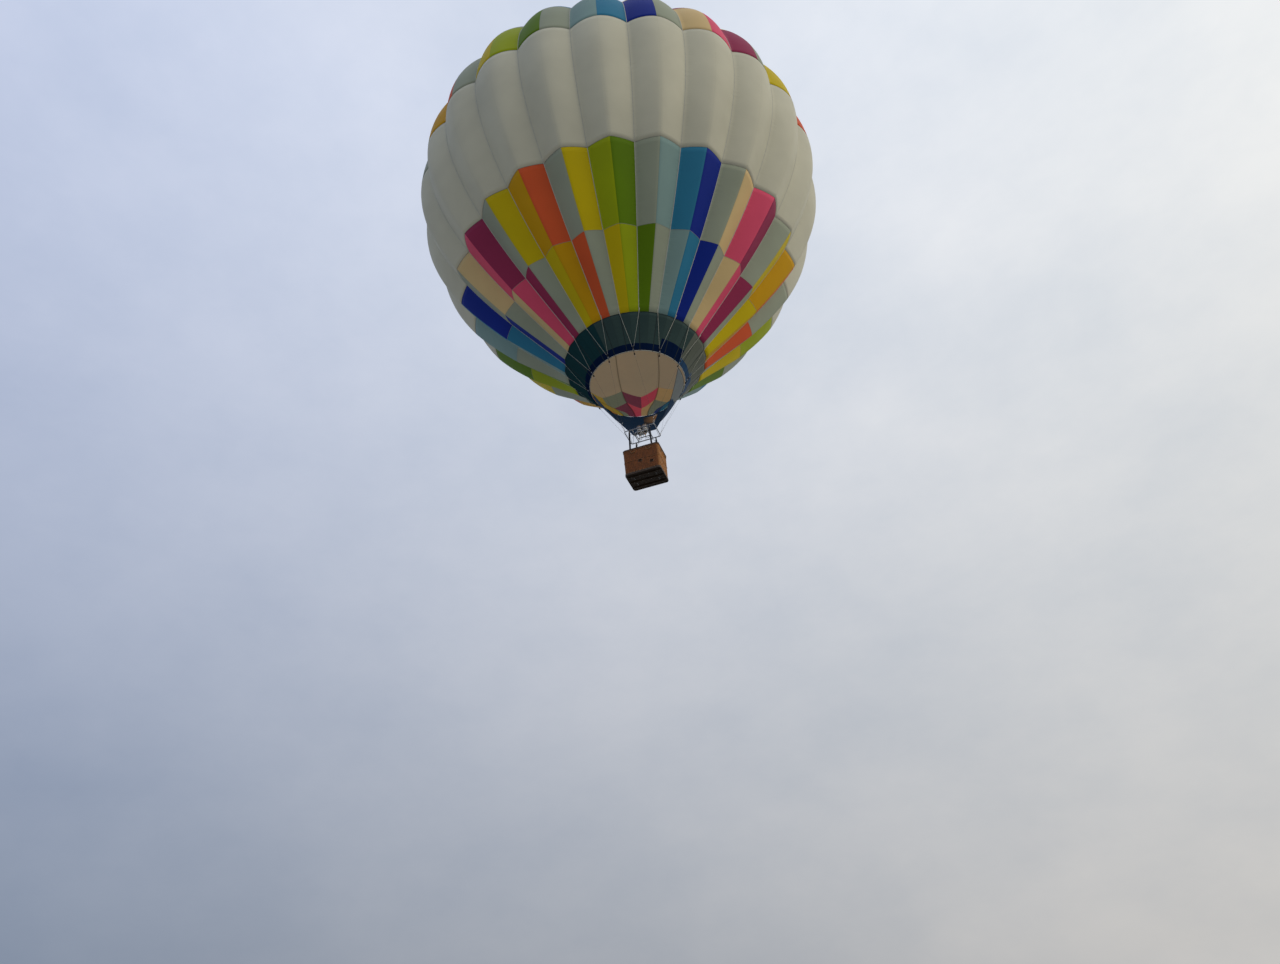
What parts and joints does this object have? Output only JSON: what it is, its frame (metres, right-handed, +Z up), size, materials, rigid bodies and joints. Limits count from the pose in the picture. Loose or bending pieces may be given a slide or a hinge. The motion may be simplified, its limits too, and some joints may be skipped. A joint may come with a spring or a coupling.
{
  "type": "hot air balloon",
  "caption": "Hot air balloon with a bulging gored envelope, parachute vent, scoop, flying wires, gimballed burners and a wicker basket on padded uprights.",
  "frame": {"origin": "centre of the envelope at its equator, where the air holds the balloon up", "axes": "+Z up along the envelope's axis, -Y is the front with the scoop's open side, +X to the right along the basket's long side"},
  "size_m": [18.2176, 18.2176, 23.1186],
  "materials": {
    "envelope_white": "satin ripstop",
    "envelope_colours": "satin ripstop in many colours",
    "throat_fabric": "matt heat proof cloth",
    "scoop_fabric": "matt cloth",
    "load_tape": "woven tape",
    "wire": "stranded",
    "karabiner": "satin",
    "frame_steel": "satin tube",
    "burner_block": "satin",
    "burner_steel": "heat tinted",
    "pole_nylon": "satin",
    "pole_cover": "padded cloth",
    "wicker": "woven cane",
    "rim_leather": "suede",
    "floor_board": "plain",
    "rawhide": "worn",
    "skid_wood": "worn",
    "cylinder_steel": "satin"
  },
  "bodies": {
    "balloon": {"envelope_crown": "envelope_white", "envelope_upper_band": "envelope_colours", "envelope_white_band": "envelope_white", "envelope_colour_band": "envelope_colours", "throat_band": "throat_fabric", "crown_tapes": "load_tape", "scoop": "scoop_fabric", "load_frame": "frame_steel", "basket_walls": "wicker", "basket_rim": "rim_leather", "basket_floor": "floor_board", "basket_hide": "rawhide", "skid_1": "skid_wood", "skid_2": "skid_wood", "skid_3": "skid_wood", "flying_wires_1": "wire", "karabiner_1": "karabiner", "upright_1": "pole_nylon", "upright_cover_1": "pole_cover", "fuel_cylinder_1": "cylinder_steel", "flying_wires_2": "wire", "karabiner_2": "karabiner", "upright_2": "pole_nylon", "upright_cover_2": "pole_cover", "fuel_cylinder_2": "cylinder_steel", "flying_wires_3": "wire", "karabiner_3": "karabiner", "upright_3": "pole_nylon", "upright_cover_3": "pole_cover", "fuel_cylinder_3": "cylinder_steel", "flying_wires_4": "wire", "karabiner_4": "karabiner", "upright_4": "pole_nylon", "upright_cover_4": "pole_cover", "fuel_cylinder_4": "cylinder_steel"},
    "vent": {"parachute_vent": "envelope_white"},
    "gimbal": {"gimbal_ring": "frame_steel"},
    "burners": {"burner_manifold": "burner_block", "burner_can_1": "burner_steel", "burner_can_2": "burner_steel"}
  },
  "joints": [
    {"name": "vent_slide", "type": "slide", "parent": "balloon", "child": "vent", "axis": [0, 0, -1], "range_m": [0, 1], "stiffness_N_per_m": 200, "springref_m": -1},
    {"name": "gimbal_tilt", "type": "hinge", "parent": "balloon", "child": "gimbal", "pos_m": [0, 0, -14], "axis": [1, 0, 0], "range_deg": [-12, 12]},
    {"name": "burner_tilt", "type": "hinge", "parent": "gimbal", "child": "burners", "pos_m": [0, 0, -14], "axis": [0, 1, 0], "range_deg": [-12, 12]}
  ]
}
